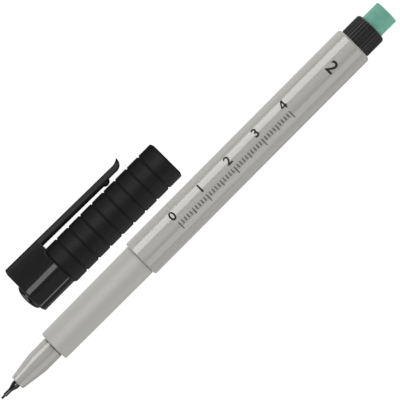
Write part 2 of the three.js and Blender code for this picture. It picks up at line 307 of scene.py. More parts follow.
# Nose
# The tapered front end, moulded in light grey polypropylene from a polished mould, so it shines.
# A shallow groove parts it from the grip, and its sleeve is pushed into the grip.
def moulded_grey(name, colours, roughness, grain, grain_depth, rub_width):
    """Light grey polypropylene. grain is the spacing of the mould's texture, drawn coarse enough to
    show, and rub_width is how wide the rubs in its gloss are."""
    material, tree, shader, place = new_material(name, {"IOR": 1.49})
    # Where the melt flowed, the grey is a shade lighter or darker in streaks 1.4 mm wide.
    along = add_node(tree, "ShaderNodeMapping", {"Scale": (0.025 / mm, 0.7 / mm, 0.7 / mm)},
                     {"Vector": place})
    flow = add_node(tree, "ShaderNodeTexNoise", {"Scale": 1.0, "Detail": 3.0},
                    {"Vector": along.outputs[0]})
    colour = add_node(tree, "ShaderNodeValToRGB", links={"Fac": flow.outputs["Fac"]}, ramp=colours)
    colour.color_ramp.elements[0].position = 0.3
    colour.color_ramp.elements[1].position = 0.7
    texture = add_node(tree, "ShaderNodeTexNoise", {"Scale": 1 / grain}, {"Vector": place})
    bump = add_node(tree, "ShaderNodeBump", {"Distance": grain_depth},
                    {"Height": texture.outputs["Fac"]})
    rub_place = add_node(tree, "ShaderNodeMapping", {
        "Scale": (0.05 / rub_width, 1 / rub_width, 1 / rub_width),
    }, {"Vector": place})
    rubs = add_node(tree, "ShaderNodeTexNoise", {"Scale": 1.0, "Detail": 4.0},
                    {"Vector": rub_place.outputs[0]})
    gloss = add_node(tree, "ShaderNodeMapRange", {
        "From Min": 0.3, "From Max": 0.7,
        "To Min": roughness * 0.85, "To Max": roughness * 1.2,
    }, {"Value": rubs.outputs["Fac"]})
    tree.links.new(colour.outputs["Color"], shader.inputs["Base Color"])
    tree.links.new(gloss.outputs["Result"], shader.inputs["Roughness"])
    tree.links.new(bump.outputs["Normal"], shader.inputs["Normal"])
    return material


# The nose is the barrel's own plastic, but its grey is set a shade darker than the barrel's: painted
# shade that evens out the extra light on it.
grey_nose_painted_darker = moulded_grey("polished_grey_nose_polypropylene", ("979692", "9f9e9a"), 0.12,
                         grain=0.8 * mm, grain_depth=0.0005 * mm, rub_width=0.12 * mm)

section_low, section_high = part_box("front_section")
nose_tip_radius = 2.05 * mm
nose_radius = 3.11 * mm
nose_cone = 7.18 * mm
nose_groove_width = 0.32 * mm
nose_groove_depth = 0.15 * mm
nose_front_hole = 1.16 * mm
nose_stem_hole = 1.72 * mm
section_front_wall = 1.2 * mm
nose_sleeve_radius = middle("nose")[1]
groove_x = section_low.x - nose_groove_width
# The groove's floor is painted dark as painted shade, standing in for the shadow in the gap, so it
# reads as a thin dark line round the nose.
tree = grey_nose_painted_darker.node_tree
shader = tree.nodes["Principled BSDF"]
clean = shader.inputs["Base Color"].links[0].from_socket
place = add_node(tree, "ShaderNodeTexCoord").outputs["Object"]
along = add_node(tree, "ShaderNodeSeparateXYZ", links={"Vector": place})
painted_shade_band = add_node(tree, "ShaderNodeMath", {
    "operation": "COMPARE",
    1: groove_x + nose_groove_width / 2,
    2: nose_groove_width / 2,
}, {0: along.outputs["X"]})
painted_groove_shade = add_node(tree, "ShaderNodeMixRGB", {"Color2": linear("454441")},
                 {"Fac": painted_shade_band.outputs[0], "Color1": clean})
tree.links.new(painted_groove_shade.outputs[0], shader.inputs["Base Color"])
nose = turned("nose_shell", [
    (nose_low.x, nose_front_hole, 0.05 * mm),
    (nose_low.x, nose_tip_radius, 0.22 * mm),
    (nose_low.x + nose_cone, nose_radius, 9 * mm),
    (groove_x, nose_radius, 0.08 * mm),
    (groove_x, nose_radius - nose_groove_depth, 0.03 * mm),
    (section_low.x, nose_radius - nose_groove_depth, 0),
    (section_low.x, nose_radius, 0),
    (section_low.x + section_front_wall, nose_radius, 0),
    (section_low.x + section_front_wall, nose_sleeve_radius, 0.1 * mm),
    (nose_high.x, nose_sleeve_radius, 0.1 * mm),
    (nose_high.x, nose_stem_hole, 0.1 * mm),
    (nose_low.x + nose_front_wall, nose_stem_hole, 0),
    (nose_low.x + nose_front_wall, nose_front_hole, 0),
], pen_axis, grey_nose_painted_darker, closed=True)
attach(nose, "marker")
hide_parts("nose")


# Front section
# The grip, moulded in the same grey polypropylene but in a spark-eroded mould, which gives it a
# fine satin grain. It widens a little towards the barrel, and its spigot is pushed into the barrel.
grey_satin = moulded_grey("spark_eroded_grey_polypropylene", ("a7a6a2", "aeada9"), 0.45,
                          grain=0.16 * mm, grain_depth=0.006 * mm, rub_width=0.3 * mm)

barrel_low, barrel_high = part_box("barrel")
section_back_radius = middle("front_section")[1]
section_front_radius = section_back_radius - 0.19 * mm
section_hole = nose_radius + 0.04 * mm
section_edge = 0.5 * mm
section_relief = 0.23 * mm
section_spigot_radius = 4.16 * mm
section_bore = 3.48 * mm
section = turned("grip_section", [
    (section_low.x, section_hole, 0.05 * mm),
    (section_low.x, section_front_radius, section_edge),
    (barrel_low.x - section_relief, section_back_radius, 0.05 * mm),
    (barrel_low.x, section_back_radius - section_relief, 0),
    (barrel_low.x, section_spigot_radius, 0),
    (section_high.x, section_spigot_radius, 0.2 * mm),
    (section_high.x, section_bore, 0.1 * mm),
    (section_low.x + section_front_wall, section_bore, 0),
    (section_low.x + section_front_wall, section_hole, 0),
], pen_axis, grey_satin, closed=True)
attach(section, "marker")
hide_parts("front_section")


# Barrel
# An open tube moulded in polished grey polypropylene, with a rounded edge at each end. A plain
# centimetre rule and a lone figure are pad-printed on it in dark grey.
grey_polished = moulded_grey("polished_grey_polypropylene", ("9d9c98", "a5a4a0"), 0.12,
                             grain=0.8 * mm, grain_depth=0.0005 * mm, rub_width=0.12 * mm)

barrel_bore = 4.25 * mm
barrel_front_edge = 0.5 * mm
barrel_back_edge = 0.75 * mm
barrel = turned("barrel_tube", [
    (barrel_low.x, barrel_bore, 0.1 * mm),
    (barrel_low.x, barrel_radius, barrel_front_edge),
    (barrel_high.x, barrel_radius, barrel_back_edge),
    (barrel_high.x, barrel_bore, 0.12 * mm),
], pen_axis, grey_polished, closed=True, sides=160)
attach(barrel, "marker")
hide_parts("barrel")

ink, tree, shader, place = new_material("pad_printed_grey_ink", {"Roughness": 0.45, "IOR": 1.5})
# Pad-printed ink lies a little thinner in spots about 0.3 mm across.
spots = add_node(tree, "ShaderNodeTexNoise", {"Scale": 3.3 / mm}, {"Vector": place})
ink_colour = add_node(tree, "ShaderNodeValToRGB", links={"Fac": spots.outputs["Fac"]},
                      ramp=("222221", "303030"))
tree.links.new(ink_colour.outputs["Color"], shader.inputs["Base Color"])

ink_height = 0.006 * mm
ink_root = 0.03 * mm
ink_cut = 0.2 * mm
figure_share = 0.72
stroke_share = 0.028


def flat_stroke(bm, x, across, width, length):
    """A printed stroke in the flat: centred at x, from across, reaching length further across."""
    made = bmesh.ops.create_cube(bm, size=1.0)["verts"]
    thickness = ink_height + ink_root
    for v in made:
        v.co = Vector((x + v.co.x * width, across + (v.co.y + 0.5) * length,
                       v.co.z * thickness + (ink_height - ink_root) / 2))


def bold_four(height):
    """The outline of a bold figure four, with its hole."""
    curve = bpy.data.curves.new("four", "CURVE")
    curve.dimensions = "2D"
    curve.fill_mode = "BOTH"
    for corners in (
        [(0.06, 1), (0.24, 1), (0.24, 0.37), (0.35, 0.37), (0.35, 0.21), (0.24, 0.21), (0.24, 0),
         (0.06, 0), (0.06, 0.21), (-0.35, 0.21), (-0.35, 0.36)],
        [(0.06, 0.37), (-0.18, 0.37), (0.06, 0.73)],
    ):
        spline = curve.splines.new("POLY")
        spline.points.add(len(corners) - 1)
        for point, (a, b) in zip(spline.points, corners):
            point.co = (a * height, b * height, 0, 1)
        spline.use_cyclic_u = True
    return curve


def flat_figure(bm, text, x, across, height, quarter_turn=False):
    """A printed figure in the flat, in Blender's own plain letters, centred at (x, across). A figure
    takes up a share of its letter's size, and its strokes are thickened by a share of its height.
    The four is drawn apart, because its hole closes up when that letter is made bold."""
    if text == "4":
        curve = bold_four(height)
    else:
        curve = bpy.data.curves.new("figure", "FONT")
        curve.body = text
        curve.size = height / figure_share
        curve.align_x = "CENTER"
        curve.offset = stroke_share * height
        curve.resolution_u = 4
    curve.extrude = (ink_height + ink_root) / 2
    letter = put_in_scene("figure", curve)
    bpy.context.view_layer.update()
    graph = bpy.context.evaluated_depsgraph_get()
    mesh = bpy.data.meshes.new_from_object(letter.evaluated_get(graph))
    part = bmesh.new()
    part.from_mesh(mesh)
    for v in part.verts:
        a, b = v.co.x, v.co.y - height / 2
        if quarter_turn:
            a, b = b, -a
        v.co = Vector((x + a, across + b, v.co.z + (ink_height - ink_root) / 2))
    bmesh.ops.remove_doubles(part, verts=part.verts, dist=weld)
    part.to_mesh(mesh)
    part.free()
    bm.from_mesh(mesh)
    bpy.data.objects.remove(letter)
    bpy.data.curves.remove(curve)
    bpy.data.meshes.remove(mesh)


def wrapped_on_barrel(name, bm):
    """The flat print laid round the barrel: across is the way round it from the top, towards +Y.
    It is cut into narrow strips first, so that it bends with the barrel."""
    reach = max(abs(v.co.y) for v in bm.verts)
    cuts = int(reach / ink_cut) + 1
    for i in range(-cuts, cuts + 1):
        everything = bm.verts[:] + bm.edges[:] + bm.faces[:]
        bmesh.ops.bisect_plane(bm, geom=everything, dist=1e-9, plane_co=(0, i * ink_cut, 0),
                               plane_no=(0, 1, 0))
    for v in bm.verts:
        angle = v.co.y / barrel_radius
        r = barrel_radius + v.co.z
        v.co = Vector((v.co.x, pen_axis[0] + r * math.sin(angle), pen_axis[1] + r * math.cos(angle)))
    return finished(name, bm, ink, sharp=40)


rule_start = barrel_low.x + 13.6 * mm
rule_across = -0.2 * mm
rule_lengths = {0: -2.3 * mm, 5: -1.8 * mm}
rule_short = -1.25 * mm
rule_stroke = 0.25 * mm
rule_centimetres = 4
figure_height = 2.6 * mm
figures_across = 2.15 * mm
flat = bmesh.new()
for tick in range(10 * rule_centimetres + 1):
    length = rule_lengths.get(tick % 10, rule_short)
    flat_stroke(flat, rule_start + tick * mm, rule_across, rule_stroke, length)
for number in range(rule_centimetres + 1):
    flat_figure(flat, str(number), rule_start + number * 10 * mm, figures_across, figure_height)
rule = wrapped_on_barrel("barrel_rule_print", flat)
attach(rule, "marker")

lone_figure_x = barrel_high.x - 8.3 * mm
lone_figure_across = -0.1 * mm
lone_figure_height = 3.4 * mm
flat = bmesh.new()
flat_figure(flat, "2", lone_figure_x, lone_figure_across, lone_figure_height, quarter_turn=True)
figure = wrapped_on_barrel("barrel_figure_print", flat)
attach(figure, "marker")


# Reservoir
# A bundle of polyester fibre that holds the ink, in a wrapper of thin clear film. It only shows
# where the tail plug is pulled out.
wick_low, wick_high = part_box("reservoir_wick")
wick_radius = middle("reservoir_wick")[1]
wick_dish = 0.25 * mm

# The bundle's strands are drawn 0.15 mm apart, coarser than they are, so that they show.
wick_fibre = stranded_polyester("ink_soaked_polyester_wick", ("1b1b20", "4a4a54"), roughness=0.9,
                                strand_scale=(0.4 / mm, 6.7 / mm, 6.7 / mm), bump=0.6,
                                depth=0.05 * mm)
wick = turned("reservoir_fibre_rod", [
    (wick_low.x, 0, 0),
    (wick_low.x, wick_radius, 0.15 * mm),
    (wick_high.x, wick_radius, 0.3 * mm),
    (wick_high.x - wick_dish, 0, 0),
], pen_axis, wick_fibre, sides=64)
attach(wick, "marker")
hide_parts("reservoir_wick")

film, tree, shader, place = new_material("clear_polypropylene_film", {"Roughness": 0.25, "IOR": 1.49})
# The film is lightly wrinkled, and the ink behind it darkens it in patches.
wrinkles = add_node(tree, "ShaderNodeTexNoise", {"Scale": 0.9 / mm, "Detail": 3.0}, {"Vector": place})
film_colour = add_node(tree, "ShaderNodeValToRGB", links={"Fac": wrinkles.outputs["Fac"]},
                       ramp=("a9acad", "e2e4e4"))
film_bump = add_node(tree, "ShaderNodeBump", {"Strength": 0.4, "Distance": 0.04 * mm},
                     {"Height": wrinkles.outputs["Fac"]})
tree.links.new(film_colour.outputs["Color"], shader.inputs["Base Color"])
tree.links.new(film_bump.outputs["Normal"], shader.inputs["Normal"])

wrapper_low, wrapper_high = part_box("reservoir_wrapper")
wrapper_radius = middle("reservoir_wrapper")[1]
wrapper_wall = 0.18 * mm
wrapper = turned("reservoir_film_wrapper", [
    (wrapper_low.x, wrapper_radius - wrapper_wall, 0),
    (wrapper_low.x, wrapper_radius, 0.04 * mm),
    (wrapper_high.x, wrapper_radius, 0.04 * mm),
    (wrapper_high.x, wrapper_radius - wrapper_wall, 0),
], pen_axis, film, closed=True, sides=64)
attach(wrapper, "marker")
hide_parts("reservoir_wrapper")


# Tail plug
# A black ring with fine ridges all round to grip it by, moulded in one with the spigot that is
# pushed into the barrel and the socket that holds the eraser. Its finish is matt.
def spark_eroded_black(name, roughness, grain):
    """Black plastic from a spark-eroded mould, whose pits make it matt. grain is their spacing, drawn
    coarse enough to show, and rubbed places are a little smoother."""
    material, tree, shader, place = new_material(name, {"IOR": 1.5})
    pits = add_node(tree, "ShaderNodeTexNoise", {"Scale": 1 / grain, "Detail": 3.0},
                    {"Vector": place})
    patches = add_node(tree, "ShaderNodeTexNoise", {"Scale": 0.25 / mm, "Detail": 3.0},
                       {"Vector": place})
    colour = add_node(tree, "ShaderNodeValToRGB", links={"Fac": pits.outputs["Fac"]},
                      ramp=("1d1d1d", "272726"))
    gloss = add_node(tree, "ShaderNodeMapRange", {
        "From Min": 0.3, "From Max": 0.7,
        "To Min": roughness * 0.9, "To Max": roughness * 1.1,
    }, {"Value": patches.outputs["Fac"]})
    bump = add_node(tree, "ShaderNodeBump", {"Distance": 0.012 * mm}, {"Height": pits.outputs["Fac"]})
    tree.links.new(colour.outputs["Color"], shader.inputs["Base Color"])
    tree.links.new(gloss.outputs["Result"], shader.inputs["Roughness"])
    tree.links.new(bump.outputs["Normal"], shader.inputs["Normal"])
    return material


black_matt = spark_eroded_black("spark_eroded_black_polypropylene", 0.42, grain=0.14 * mm)

plug_low, plug_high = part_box("tail_plug")
eraser_low, eraser_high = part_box("eraser")
# No ridge points straight up, so the ring's radius is a little more than half of its height.
ring_radius = middle("tail_plug")[1] + 0.03 * mm
eraser_radius = middle("eraser")[1]
ridge_count = 30
ridge_depth = 0.3 * mm
plug_spigot_radius = 4.16 * mm
plug_socket_radius = eraser_radius + 0.06 * mm
plug_cup_radius = wrapper_radius + 0.08 * mm
plug_floor = 1.2 * mm
plug_pinhole = 0.02 * mm
ring_gap = 0.02 * mm
ring_bevel = 0.4 * mm
ring_bevel_depth = 0.15 * mm
ring_edge = 0.9 * mm


def ridged(x, r, angle):
    """The ring's radius with its ridges, which fade out over the rounded end."""
    if x < barrel_high.x + ring_gap / 2 or r < plug_spigot_radius:
        return r
    fade = min(1.0, (r - plug_spigot_radius) / (ring_radius - plug_spigot_radius))
    return r - ridge_depth * fade * (1 - abs(math.cos(ridge_count * angle / 2)))


plug = turned("tail_plug_ring", [
    (plug_low.x, plug_cup_radius, 0.1 * mm),
    (plug_low.x, plug_spigot_radius, 0.3 * mm),
    (barrel_high.x, plug_spigot_radius, 0),
    (barrel_high.x + ring_gap, ring_radius - ring_bevel_depth, 0),
    (barrel_high.x + ring_bevel, ring_radius, 0.1 * mm),
    (plug_high.x, ring_radius, ring_edge),
    (plug_high.x, plug_socket_radius, 0.12 * mm),
    (eraser_low.x, plug_socket_radius, 0),
    (eraser_low.x, plug_pinhole, 0),
    (eraser_low.x - plug_floor, plug_pinhole, 0),
    (eraser_low.x - plug_floor, plug_cup_radius, 0),
], pen_axis, black_matt, closed=True, sides=12 * ridge_count, radius_at=ridged)
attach(plug, "tail")
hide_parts("tail_plug")


# Eraser
# A short rod of grey-green vinyl eraser, cut square at the end with its edge just broken. The cut
# and handled surface is dull, faintly mottled and not quite true.
eraser_vinyl, tree, shader, place = new_material("grey_green_eraser_vinyl", {
    "Roughness": 0.72,
    "IOR": 1.52,
    "Subsurface Weight": 0.08,
    "Subsurface Radius": (0.8 * mm, 1.0 * mm, 0.9 * mm),
    "Subsurface Scale": 1.0,
})
# The mottle's patches are about 1.7 mm across.
mottle = add_node(tree, "ShaderNodeTexNoise", {"Scale": 0.6 / mm, "Detail": 5.0}, {"Vector": place})
mottle_colour = add_node(tree, "ShaderNodeValToRGB", links={"Fac": mottle.outputs["Fac"]},
                         ramp=("649e8c", "6faa98"))
mottle_colour.color_ramp.elements[0].position = 0.25
mottle_colour.color_ramp.elements[1].position = 0.75
# Crumb-sized roughness on the cut skin, about 0.12 mm across.
crumb = add_node(tree, "ShaderNodeTexNoise", {"Scale": 8 / mm, "Detail": 3.0}, {"Vector": place})
crumb_bump = add_node(tree, "ShaderNodeBump", {"Distance": 0.015 * mm},
                      {"Height": crumb.outputs["Fac"]})
tree.links.new(mottle_colour.outputs["Color"], shader.inputs["Base Color"])
tree.links.new(crumb_bump.outputs["Normal"], shader.inputs["Normal"])

eraser_edge = 0.3 * mm
eraser_waist = 2.5 * mm
untrue = 0.02 * mm


def not_quite_true(x, r, angle):
    """The eraser's radius, which strays a little from round: three lobes twist one way along it and
    five the other way."""
    wander = math.sin(3 * angle + x / (2.1 * mm)) + math.sin(5 * angle - x / (1.3 * mm))
    return r - untrue * (1 + 0.5 * wander)


eraser = turned("eraser_rod", [
    (eraser_low.x, 0, 0),
    (eraser_low.x, eraser_radius, 0.1 * mm),
    (plug_high.x, eraser_radius, 0),
    (plug_high.x + eraser_waist, eraser_radius, 0),
    (eraser_high.x, eraser_radius, eraser_edge),
    (eraser_high.x, 0, 0),
], pen_axis, eraser_vinyl, radius_at=not_quite_true)
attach(eraser, "tail")
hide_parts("eraser")


# Cap tube
# The grooved part of the cap, moulded in black polypropylene with a matt spark-eroded finish. Its
# grooves are part of the moulding, and it is pushed on the end housing's spigot.
cap_axis, tube_radius = middle("cap_tube")
tube_low, tube_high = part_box("cap_tube")
tube_bore = 4.75 * mm
tube_end_flush = 0.15 * mm
tube_end_edge = 0.72 * mm
tube_end_step = 0.46 * mm
mouth_bevel = 0.42 * mm
mouth_lip = 0.05 * mm
end_band = 4.67 * mm
mouth_band = 4.88 * mm
groove_count = 8
groove_width = 0.62 * mm
groove_floor = 0.2 * mm
groove_depth = 0.32 * mm
groove_lip = 0.12 * mm
corners = [
    (tube_low.x, tube_bore, 0.1 * mm),
    (tube_low.x, tube_radius - tube_end_step, 0.05 * mm),
    (tube_low.x + tube_end_flush, tube_radius - tube_end_step, 0.1 * mm),
    (tube_low.x + tube_end_edge, tube_radius, 0.25 * mm),
]
groove_pitch = (tube_high.x - tube_low.x - end_band - mouth_band) / (groove_count - 1)
for i in range(groove_count):
    x = tube_low.x + end_band + i * groove_pitch
    corners += [
        (x - groove_width / 2, tube_radius, groove_lip),
        (x - groove_floor / 2, tube_radius - groove_depth, groove_lip),
        (x + groove_floor / 2, tube_radius - groove_depth, groove_lip),
        (x + groove_width / 2, tube_radius, groove_lip),
    ]
corners += [
    (tube_high.x - mouth_bevel, tube_radius, 0.3 * mm),
    (tube_high.x, tube_bore + mouth_lip, 0.04 * mm),
    (tube_high.x, tube_bore, 0),
]
cap_tube = turned("cap_grooved_tube", corners, cap_axis, black_matt, closed=True, sides=144)
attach(cap_tube, "cap")
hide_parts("cap_tube")


# Cap end housing
# The glossy closed end of the cap, moulded in black polypropylene from a polished mould: a round
# body whose sides run straight up to the root of the clip, with a softly rolled end.
black_polished = polished_black("polished_black_polypropylene", 0.1)

housing_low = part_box("cap_housing")[0]
liner_low, liner_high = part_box("cap_liner")
housing_radius = cap_axis[1] - housing_low.z
clip_top = 9.25 * mm
clip_slope = 0.0165
clip_width = 4.6 * mm
root_corner = 0.75 * mm
flank_crown = 0.04 * mm
end_roll_in = 2.2 * mm
end_roll_along = 0.6 * mm
end_roll_power = 2.4
dome_hole = 3.8 * mm
hole_edge = 0.1 * mm
housing_wall = 1.1 * mm
housing_spigot_radius = 4.64 * mm
housing_bore = 4.0 * mm
liner_flange = 1.5 * mm
top_steps = 6
flank_steps = 10
round_steps = 32
corner_reach = math.hypot(clip_top, clip_width / 2)
flank_turn = math.atan2(clip_width / 2, clip_top) + math.acos(housing_radius / corner_reach)


def clip_top_at(x):
    """How far the clip's outer side is from the cap's axis. It falls away towards the free end."""
    return clip_top - clip_slope * (x - housing_low.x)


def on_flank(start, foot, share):
    """The place that share of the way down a flank from start to foot, which is crowned a little."""
    outward = Vector((math.cos(flank_turn), math.sin(flank_turn)))
    crown = flank_crown * 4 * share * (1 - share)
    return tuple(Vector(start).lerp(Vector(foot), share) + crown * outward)


def housing_outline(top, inset):
    """Half of the housing's section, from the middle of the clip's side round to the far side, as
    (towards the clip, across), all drawn in by inset."""
    r = housing_radius - inset
    high = top - inset
    half = (r - high * math.cos(flank_turn)) / math.sin(flank_turn)
    flank_foot = (r * math.cos(flank_turn), r * math.sin(flank_turn))
    rounding = max(root_corner - 0.7 * inset, 0.1 * mm)
    corner = fillet((high, 0), (high, half), flank_foot, rounding, step=9)
    points = [(high, corner[0][1] * i / top_steps) for i in range(top_steps)] + corner
    for i in range(1, flank_steps):
        points.append(on_flank(corner[-1], flank_foot, i / flank_steps))
    for i in range(round_steps + 1):
        angle = flank_turn + (math.pi - flank_turn) * i / round_steps
        points.append((r * math.cos(angle), r * math.sin(angle)))
    return points


def whole(half_points):
    """A whole outline from its half, mirrored across the plane through the axis and the clip."""
    return half_points + [(a, -b) for a, b in reversed(half_points[1:-1])]


def skinned(name, rings, material, closed):
    """A skin over rings of points, each with as many points, capped at both ends or closed."""
    bm = bmesh.new()
    loops = [[bm.verts.new(p) for p in ring] for ring in rings]
    count = len(loops[0])
    pairs = list(zip(loops, loops[1:])) + ([(loops[-1], loops[0])] if closed else [])
    for a, b in pairs:
        for i in range(count):
            j = (i + 1) % count
            bm.faces.new((a[i], a[j], b[j], b[i]))
    if not closed:
        bm.faces.new(loops[0])
        bm.faces.new(loops[-1])
    return finished(name, bm, material)


def at_cap(x, points):
    """Points of a section across the cap, put in place at x."""
    return [(x, cap_axis[0] + a, cap_axis[1] + b) for a, b in points]


def round_like(points, radius):
    """A circle with one point in the direction of each of these points from the axis."""
    return [(radius * a / math.hypot(a, b), radius * b / math.hypot(a, b)) for a, b in points]


rings = []
face_x = housing_low.x
roll_end = face_x + end_roll_along
back_edge = 0.05 * mm
# The rolled end, in rings that are drawn in by less and less, given in mm.
for inset in (1.42, 1.2, 1.0, 0.8, 0.6, 0.4, 0.25, 0.12):
    x = face_x + end_roll_along * (1 - inset * mm / end_roll_in) ** end_roll_power
    rings.append(at_cap(x, whole(housing_outline(clip_top_at(x), inset * mm))))
# The end of the roll, the straight body and its back edge.
for x, inset in (
    (roll_end - 0.05 * mm, 0.045 * mm),
    (roll_end + 0.02 * mm, 0.012 * mm),
    (roll_end + 0.12 * mm, 0),
    (roll_end + 0.3 * mm, 0),
    (tube_low.x - back_edge - 0.15 * mm, 0),
    (tube_low.x - back_edge, 0),
    (tube_low.x - 0.3 * back_edge, 0.3 * back_edge),
    (tube_low.x, back_edge),
):
    section_points = whole(housing_outline(clip_top_at(x), inset))
    rings.append(at_cap(x, section_points))
# The spigot, the bore with the liner in it and the hole for the liner's dome.
spigot_end = liner_high.x - liner_flange
for x, r in (
    (tube_low.x, housing_spigot_radius),
    (spigot_end, housing_spigot_radius),
    (spigot_end, housing_bore),
    (face_x + housing_wall, housing_bore),
    (face_x + housing_wall, dome_hole),
    (face_x + hole_edge, dome_hole),
    (face_x + 0.3 * hole_edge, dome_hole + 0.6 * hole_edge),
):
    rings.append(at_cap(x, round_like(section_points, r)))
housing = skinned("cap_end_housing", rings, black_polished, closed=True)
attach(housing, "cap")
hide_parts("cap_housing")


# Clip
# A springy tongue moulded in one with the end housing, stiffened by a rib under it. A ball under
# its free end holds it on a pocket's edge, and the end curls away so that the cloth slides in.
clip_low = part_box("clip")[0]
# The solid tongue starts this far from the root, the dressed one at the root itself.
solid_gap = 0.3 * mm
clip_root_x = clip_low.x - solid_gap
clip_root_gap = 0.03 * mm
clip_thickness = 1.72 * mm
clip_rib_foot = 1.05 * mm
clip_rib_crest = 0.5 * mm
clip_rib_depth = 0.55 * mm
clip_ball_radius = 1.45 * mm
clip_ball_gap = 0.2 * mm
clip_ball_x = clip_root_x + 22.82 * mm
clip_ball_height = tube_radius + clip_ball_gap + clip_ball_radius
clip_top_edge = 0.25 * mm
clip_draft = 0.06
clip_under_edge = 0.3 * mm
clip_root_fillet = 0.25 * mm
curl_x = clip_root_x + 27 * mm
curl_under_radius = 2.2 * mm
curl_over_radius = 3.2 * mm
curl_rise = math.radians(104)
tip_round = 1.3 * mm
top_arc_steps = 8
under_arc_steps = 4
# Places across the under side in mm, close enough for the rib's flanks and the ball's round.
under_places = (1.85, 1.7, 1.55, 1.4, 1.25, 1.15, 1.05, 0.95, 0.85, 0.75, 0.65, 0.55, 0.45, 0.35,
                0.25, 0.12, 0)


def clip_section(under, over, half_under, root_drop, s):
    """A ring across the clip, s along the cap: under and over are its two sides in the plane of the
    clip, and the rib and the ball hang from the under side, the rib as far as the ball. root_drop
    carries it down to the root's floor."""
    way = (over - under).normalized()
    thick = (over - under).length
    half_over = half_under - clip_draft * thick
    edge = min(clip_top_edge, 0.9 * half_over)
    level = half_over - edge
    half = [(0, thick), (0.35 * level, thick), (0.7 * level, thick)]
    for i in range(top_arc_steps + 1):
        angle = math.pi / 2 * i / top_arc_steps
        half.append((level + edge * math.sin(angle),
                     thick - min(edge, 0.8 * thick) * (1 - math.cos(angle))))
    low_edge = clip_under_edge * (thick / clip_thickness)
    half.append((half_under, low_edge - root_drop))
    for i in range(1, under_arc_steps + 1):
        angle = math.pi / 2 * i / under_arc_steps
        half.append((half_under - low_edge * (1 - math.cos(angle)),
                     low_edge * (1 - math.sin(angle)) - root_drop))
    for place_across in under_places:
        across = place_across * mm
        rib = 0
        if s <= clip_ball_x:
            flank = (clip_rib_foot - across) / (clip_rib_foot - clip_rib_crest)
            rib = clip_rib_depth * max(0.0, min(1.0, flank))
        ball = clip_ball_radius ** 2 - (s - clip_ball_x) ** 2 - across ** 2
        if ball > 0:
            under_height = clip_top_at(s) - clip_thickness
            rib = max(rib, math.sqrt(ball) - (clip_ball_height - under_height))
        half.append((across * half_under / (clip_width / 2), -max(rib, root_drop)))
    points = []
    for across, height in half:
        there = under + way * height
        points.append((there.x, there.y, across))
    ring = points + [(x, y, -z) for x, y, z in reversed(points[1:-1])]
    return [(x, cap_axis[0] + y, cap_axis[1] + z) for x, y, z in ring]


root_skin = 0.005 * mm
root_lip = 0.12 * mm
root_shoulder = 15
root_flank_steps = 6


def root_ring(x):
    """A ring across the clip's root: the housing's own section, cut off just above the tube. Its
    first points are the shoulder, past which the flank goes down."""
    shoulder = housing_outline(clip_top_at(x), -root_skin)[:root_shoulder]
    chamfer = (tube_low.x + tube_end_edge - x) * tube_end_step / (tube_end_edge - tube_end_flush)
    floor_here = tube_radius + clip_root_gap - min(max(0, chamfer), tube_end_step)
    foot_reach = housing_radius + root_skin
    start, foot = shoulder[-1], (foot_reach * math.cos(flank_turn), foot_reach * math.sin(flank_turn))
    share_down = (start[0] - floor_here + root_lip) / (start[0] - foot[0])
    flank = []
    for i in range(1, root_flank_steps + 1):
        flank.append(on_flank(start, foot, share_down * i / root_flank_steps))
    under = [(floor_here, flank[-1][1] * share) for share in (0.9, 0.5, 0)]
    return at_cap(x, whole(shoulder + flank + under))


root = skinned("cap_clip_root", [root_ring(x) for x in (
    tube_low.x - 0.3 * mm,
    tube_low.x + tube_end_flush,
    tube_low.x + tube_end_edge,
    clip_root_x - 0.04 * mm,
    clip_root_x,
)], black_polished, closed=False)
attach(root, "cap")

rings = []
stops = []
root_steps = 5
for i in range(root_steps + 1):
    stops.append(clip_root_x + clip_root_fillet * (1 - math.cos(math.pi / 2 * i / root_steps)))
x = stops[-1]
# Wide steps along the plain tongue, and narrow ones over the ball.
for stretch_end, stride in (
    (clip_ball_x - 2 * mm, 0.8 * mm),
    (clip_ball_x + 1.9 * mm, 0.1 * mm),
    (curl_x - 0.4 * mm, 0.4 * mm),
):
    while x < stretch_end:
        x += stride
        stops.append(x)
for x in stops:
    over = Vector((x, clip_top_at(x)))
    under = over - Vector((0, clip_thickness))
    depth = min(x - clip_root_x, clip_root_fillet)
    drop = clip_root_fillet - math.sqrt(clip_root_fillet ** 2 - (clip_root_fillet - depth) ** 2)
    rings.append(clip_section(under, over, clip_width / 2, drop, x))
curl_top = clip_top_at(curl_x)
under_centre = Vector((curl_x, curl_top - clip_thickness + curl_under_radius))
over_centre = Vector((curl_x, curl_top + curl_over_radius))
tip_x = curl_x + curl_under_radius * math.sin(curl_rise)
over_rise = math.asin((tip_x - curl_x) / curl_over_radius)
curl_steps = 16
for i in range(curl_steps + 1):
    share = i / curl_steps
    low_turn, high_turn = curl_rise * share, over_rise * share
    under = under_centre + curl_under_radius * Vector((math.sin(low_turn), -math.cos(low_turn)))
    over = over_centre + curl_over_radius * Vector((math.sin(high_turn), -math.cos(high_turn)))
    left = (1 - share) * curl_over_radius * over_rise
    narrower = 0
    if left < tip_round:
        narrower = tip_round - math.sqrt(tip_round ** 2 - (tip_round - left) ** 2)
    rings.append(clip_section(under, over, clip_width / 2 - narrower, 0, curl_x))
clip = skinned("cap_clip_tongue", rings, black_polished, closed=False)
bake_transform(clip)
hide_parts("clip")


# Cap liner
# The inner cap, moulded in glossy black polyethylene. It closes on the nose so that the nib stays
# moist, and its domed end stands out of the housing.
liner_flange_radius = middle("cap_liner")[1]
dome_radius = 3.75 * mm
dome_rise = face_x - liner_low.x
liner_body_radius = 3.92 * mm
liner_bore = 3.2 * mm
liner_throat_radius = 2.45 * mm
liner_pit_radius = 1.5 * mm
liner_end_wall = 0.8 * mm
liner_seal = 6.82 * mm
liner_throat = 7.18 * mm
dome_steps = 18
corners = []
for i in range(dome_steps + 1):
    turn = math.pi / 2 * i / dome_steps
    corners.append((face_x - dome_rise * math.cos(turn), dome_radius * math.sin(turn), 0))
